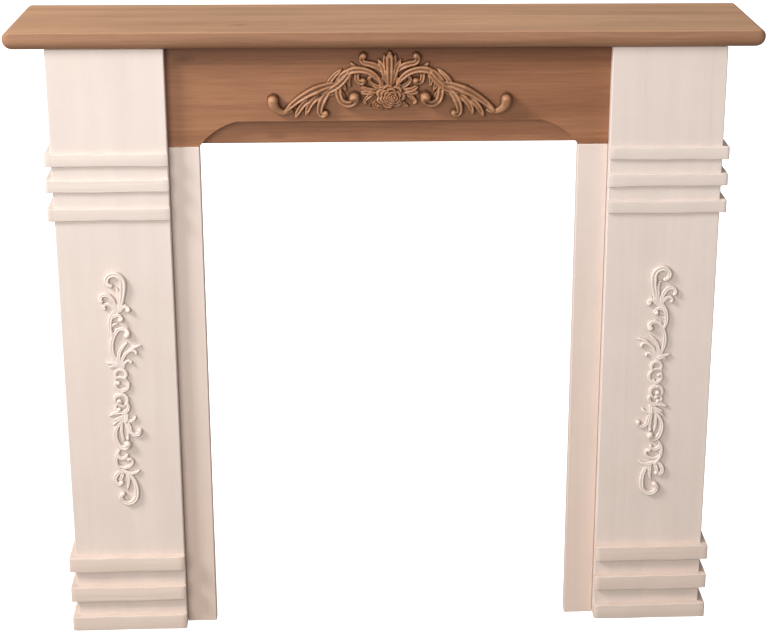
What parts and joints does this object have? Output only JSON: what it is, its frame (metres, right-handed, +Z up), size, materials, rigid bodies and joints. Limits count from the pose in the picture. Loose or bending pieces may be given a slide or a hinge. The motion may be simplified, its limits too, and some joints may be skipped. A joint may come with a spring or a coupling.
{
  "type": "fireplace mantelpiece",
  "caption": "Timber fireplace surround with a moulded brown shelf, an arched frieze with a carved scroll, and cream pilasters with carved drops.",
  "frame": {"origin": "middle of the footprint, on the floor", "axes": "+X across the width towards the right pilaster, +Y from the front towards the wall, +Z up"},
  "size_m": [1.1, 0.2164, 0.963],
  "materials": {
    "walnut_stain": "mid brown stain on straight-grained softwood, worn satin",
    "cream_paint": "brushed cream paint over softwood, eggshell"
  },
  "bodies": {
    "root": {"mantel_shelf": "walnut_stain", "frieze_board": "walnut_stain", "arch_rail": "walnut_stain", "frieze_carving": "walnut_stain", "pilaster_front_left": "cream_paint", "pilaster_outer_side_left": "cream_paint", "pilaster_inner_side_left": "cream_paint", "slip_left": "cream_paint", "base_left_1_front_lath": "cream_paint", "base_left_1_side_lath": "cream_paint", "capital_left_1_front_lath": "cream_paint", "capital_left_1_side_lath": "cream_paint", "base_left_2_front_lath": "cream_paint", "base_left_2_side_lath": "cream_paint", "capital_left_2_front_lath": "cream_paint", "capital_left_2_side_lath": "cream_paint", "base_left_3_front_lath": "cream_paint", "base_left_3_side_lath": "cream_paint", "capital_left_3_front_lath": "cream_paint", "capital_left_3_side_lath": "cream_paint", "pilaster_carving_left": "cream_paint", "pilaster_front_right": "cream_paint", "pilaster_outer_side_right": "cream_paint", "pilaster_inner_side_right": "cream_paint", "slip_right": "cream_paint", "base_right_1_front_lath": "cream_paint", "base_right_1_side_lath": "cream_paint", "capital_right_1_front_lath": "cream_paint", "capital_right_1_side_lath": "cream_paint", "base_right_2_front_lath": "cream_paint", "base_right_2_side_lath": "cream_paint", "capital_right_2_front_lath": "cream_paint", "capital_right_2_side_lath": "cream_paint", "base_right_3_front_lath": "cream_paint", "base_right_3_side_lath": "cream_paint", "capital_right_3_front_lath": "cream_paint", "capital_right_3_side_lath": "cream_paint", "pilaster_carving_right": "cream_paint"}
  },
  "joints": []
}
